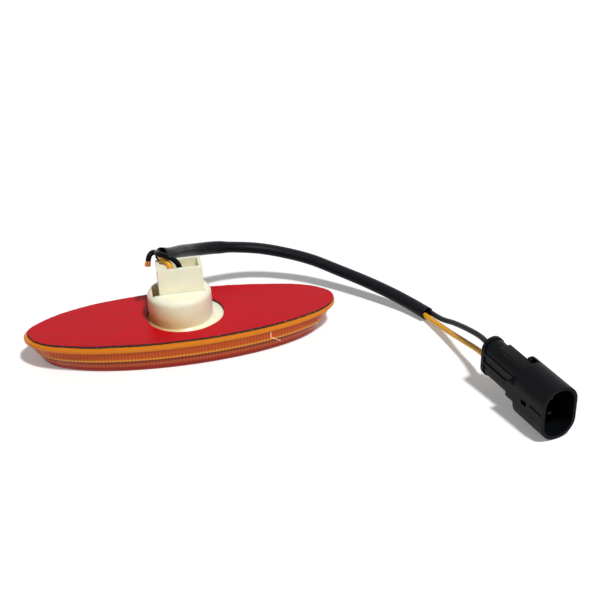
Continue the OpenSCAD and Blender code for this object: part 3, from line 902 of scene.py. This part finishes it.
class LAMP_OT_lens(bpy.types.Operator):
    """Form the amber lens: fluted face, leaning wall, rim and the rebate for the back plate"""
    bl_idname = "lamp.lens"
    bl_label = "Lens"

    def execute(self, context):
        bm = self.fluted_face()
        edges = [edge for edge in bm.edges if edge.is_boundary]
        last = (CAVITY_LOW_L, CAVITY_LOW_W, FACE_T)
        for size in lens_rings():
            ring, edges = next_ring(bm, edges)
            bmesh.ops.scale(bm, vec=(size[0] / last[0], size[1] / last[1], 1), verts=ring)
            bmesh.ops.translate(bm, vec=(0, 0, size[2] - last[2]), verts=ring)
            last = size
        bmesh.ops.holes_fill(bm, edges=edges, sides=0)
        piece = new_piece("amber_lens", bm, amber_plastic())
        piece.data.set_sharp_from_angle(angle=math.radians(SHARP_FROM))
        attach(piece, BODY)
        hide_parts("lens")
        return {"FINISHED"}

    def fluted_face(self):
        """A sheet in the shape of the cavity's floor, raised into flutes across the lens."""
        columns = flute_columns()
        last_column, last_row = len(columns) - 1, len(FLUTE_ROWS) - 1
        bm = bmesh.new()
        bmesh.ops.create_grid(bm, x_segments=last_column, y_segments=last_row, size=1)
        for vert in bm.verts:
            x, rise = columns[round((vert.co.x + 1) / 2 * last_column)]
            row = FLUTE_ROWS[round((vert.co.y + 1) / 2 * last_row)]
            reach = CAVITY_LOW_W / 2 * math.sqrt(max(0.0, 1 - (2 * x / CAVITY_LOW_L) ** 2))
            vert.co = Vector((x, row * reach, FACE_T + (rise if abs(row) < 1 else 0)))
        bmesh.ops.remove_doubles(bm, verts=bm.verts[:], dist=0.00001)
        return bm


class LAMP_OT_roof_bar(bpy.types.Operator):
    """Raise the roof of the plug's narrow rear up to the wide part"""
    bl_idname = "lamp.roof_bar"
    bl_label = "Plug roof"

    def execute(self, context):
        bm = bmesh.new()
        for low, high, rounding in (ROOF_BAR, ROOF_STEP):
            low, high = Vector(low), Vector(high)
            verts = bmesh.ops.create_cube(bm, size=1)["verts"]
            bmesh.ops.scale(bm, vec=high - low, verts=verts)
            bmesh.ops.translate(bm, vec=(low + high) / 2, verts=verts)
            edges = list({edge for vert in verts for edge in vert.link_edges})
            bmesh.ops.bevel(
                bm, geom=edges, offset=rounding, offset_type="OFFSET", affect="EDGES",
                segments=BEVEL_STEPS, profile=0.5, material=-1,
            )
        place = Matrix.Translation(PLUG_PLACE) @ plug_turn().to_4x4()
        bmesh.ops.transform(bm, matrix=place, verts=bm.verts[:])
        piece = new_piece("plug_roof", bm, NODES["plug_housing"].data.materials[0])
        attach(piece, BODY)
        return {"FINISHED"}


def wave(way, waves, seed):
    """A noise that comes back to itself round the lamp."""
    return noise.noise(Vector((way.x * waves, way.y * waves, seed)))


def cut_ring(name, node, grow, wobble, seed, material):
    """A layer cut by hand to the lamp's oval, with a round hole for the boss."""
    low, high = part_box(node)
    middle = Vector(((low.x + high.x) / 2, 0, 0))
    half_l, half_w = (high.x - low.x) / 2 + grow, high.y + grow
    bm = bmesh.new()
    outer = bmesh.ops.create_circle(bm, cap_ends=False, radius=1, segments=RING_SIDES)["verts"]
    for vert in outer:
        way = vert.co.normalized()
        slow, quick = wave(way, SLOW_WAVES, seed), wave(way, QUICK_WAVES, seed + 5)
        away = Vector((way.x * half_w, way.y * half_l, 0)).normalized()
        shift = wobble * (SLOW_SHARE * slow + QUICK_SHARE * quick)
        vert.co = middle + Vector((way.x * half_l, way.y * half_w, 0)) + away * shift
    hole = bmesh.ops.create_circle(
        bm, cap_ends=False, radius=HOLE_R - grow, segments=RING_SIDES,
    )["verts"]
    for vert in hole:
        ragged = 1 + HOLE_SHARE * wave(vert.co.normalized(), HOLE_WAVES, seed + 9)
        vert.co = vert.co * ragged + Vector((HOLE_X, 0, 0))
    bmesh.ops.bridge_loops(bm, edges=bm.edges[:])
    rays = [
        edge for edge in bm.edges
        if all(len(vert.link_edges) == 3 for vert in edge.verts) and not edge.is_boundary
    ]
    bmesh.ops.subdivide_edges(bm, edges=rays, cuts=RING_CUTS, use_grid_fill=True)
    made = bmesh.ops.extrude_face_region(bm, geom=bm.faces[:])["geom"]
    top = [item for item in made if isinstance(item, bmesh.types.BMVert)]
    bmesh.ops.translate(bm, vec=(0, 0, high.z - low.z), verts=top)
    bmesh.ops.translate(bm, vec=(0, 0, low.z), verts=bm.verts[:])
    piece = new_piece(name, bm, material, smooth=False)
    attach(piece, BODY)
    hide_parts(node)
    return piece


class LAMP_OT_pad(bpy.types.Operator):
    """Cut the foam pad and its red liner"""
    bl_idname = "lamp.pad"
    bl_label = "Pad and liner"

    def execute(self, context):
        wobble = settings().cut_wobble
        foam = cut_ring("foam", "foam_pad", -0.0001, wobble, 1.0, black_foam())
        liner = cut_ring("liner", "release_liner", -0.0002, wobble, 1.3, red_liner())
        return {"FINISHED"}


class LAMP_OT_finishes(bpy.types.Operator):
    """Give every other part of the lamp and the plug its material"""
    bl_idname = "lamp.finishes"
    bl_label = "Finishes"

    def execute(self, context):
        brass = bright_metal("brass", BRASS, 0.3)
        tungsten = bright_metal("tungsten", TUNGSTEN, 0.35)
        black = plug_plastic()
        rubber = moulded("seal_rubber", SEAL_OCHRE, 0.6, variation=0.1)
        # Tin painted dark for the shade deep in the plug's mouth
        tin = bright_metal("tin", SHADE_DARKENED_TIN, 0.55)
        finishes = {
            "housing": ivory_with_painted_amber_light(), "bulb_holder": ivory_plastic("ivory_plastic"),
            "contact_black": brass, "contact_yellow": brass, "bulb_glass": clear_glass(),
            "bulb_filament": tungsten, "bulb_post_left": tungsten, "bulb_post_right": tungsten,
            "plug_housing": black, "terminal_lock": black, "seal_black": rubber,
            "seal_yellow": rubber, "terminal_black": tin, "terminal_yellow": tin,
        }
        for node, material in finishes.items():
            dress(node, material)
        return {"FINISHED"}


class LAMP_OT_stage(bpy.types.Operator):
    """Lay the pale floor, and light it from the sky and one large light"""
    bl_idname = "lamp.stage"
    bl_label = "Stage"

    def execute(self, context):
        scene = context.scene
        scene.view_settings.view_transform = "Standard"
        bm = bmesh.new()
        bmesh.ops.create_grid(bm, x_segments=1, y_segments=1, size=settings().floor_size / 2)
        floor = new_piece("floor", bm, self.floor_finish())
        self.sky(scene)
        self.key_light(scene)
        return {"FINISHED"}

    def floor_finish(self):
        material, tree, shader = start_material("floor")
        shader.inputs["Base Color"].default_value = FLOOR_COLOUR
        shader.inputs["Roughness"].default_value = 0.8
        back = axis_value(tree, object_coords(tree), "Y")
        strength = add_math(
            tree, "MULTIPLY", self.seen_directly(tree), add_range(tree, back, FLOOR_Y, FLOOR_GLOW),
        )
        glow = tree.nodes.new("ShaderNodeEmission")
        tree.links.new(strength, glow.inputs["Strength"])
        both = tree.nodes.new("ShaderNodeAddShader")
        tree.links.new(shader.outputs[0], both.inputs[0])
        tree.links.new(glow.outputs[0], both.inputs[1])
        tree.links.new(both.outputs[0], tree.nodes["Material Output"].inputs["Surface"])
        return material

    def seen_directly(self, tree):
        """1 for what the camera sees, straight or in gloss and glass, and 0 for light."""
        path = tree.nodes.new("ShaderNodeLightPath")
        value = path.outputs["Is Camera Ray"]
        for name in ("Is Glossy Ray", "Is Transmission Ray"):
            value = add_math(tree, "MAXIMUM", value, path.outputs[name])
        return value

    def sky(self, scene):
        world = bpy.data.worlds.new("studio")
        scene.world = world
        world.use_nodes = True
        tree = world.node_tree
        back = tree.nodes["Background"]
        back.inputs["Color"].default_value = (1, 1, 1, 1)
        strength = add_range(tree, self.seen_directly(tree), (0.0, 1.0), (SKY_LIGHT, SKY_SHOWN))
        tree.links.new(strength, back.inputs["Strength"])

    def key_light(self, scene):
        data = bpy.data.lights.new("key", "AREA")
        data.shape = "DISK"
        data.size = KEY_SIZE
        data.energy = settings().key_power
        light = bpy.data.objects.new("key", data)
        light.location = KEY_PLACE
        light.rotation_euler = Vector(KEY_PLACE).to_track_quat("Z", "Y").to_euler()
        scene.collection.objects.link(light)


class LAMP_PT_panel(bpy.types.Panel):
    """Buttons and settings of the lamp"""
    bl_label = "Side Marker Lamp"
    bl_idname = "LAMP_PT_panel"
    bl_space_type = "VIEW_3D"
    bl_region_type = "UI"
    bl_category = "Lamp"

    def draw(self, context):
        column = self.layout.column()
        for name in LampSettings.__annotations__:
            column.prop(context.scene.marker_lamp, name)
        for operator in OPERATORS:
            column.operator(operator.bl_idname)


OPERATORS = (
    LAMP_OT_camera, LAMP_OT_wires, LAMP_OT_sleeve, LAMP_OT_tail, LAMP_OT_lens, LAMP_OT_pad,
    LAMP_OT_finishes, LAMP_OT_roof_bar, LAMP_OT_stage,
)
CLASSES = (LampSettings,) + OPERATORS + (LAMP_PT_panel,)


def register():
    for cls in CLASSES:
        bpy.utils.register_class(cls)
    bpy.types.Scene.marker_lamp = PointerProperty(type=LampSettings)


def unregister():
    del bpy.types.Scene.marker_lamp
    for cls in reversed(CLASSES):
        bpy.utils.unregister_class(cls)


def main():
    register()
    bpy.ops.lamp.camera()
    bpy.ops.lamp.wires()
    bpy.ops.lamp.sleeve()
    bpy.ops.lamp.tail()
    bpy.ops.lamp.lens()
    bpy.ops.lamp.pad()
    bpy.ops.lamp.finishes()
    bpy.ops.lamp.roof_bar()
    bpy.ops.lamp.stage()


if __name__ == "__main__":
    main()
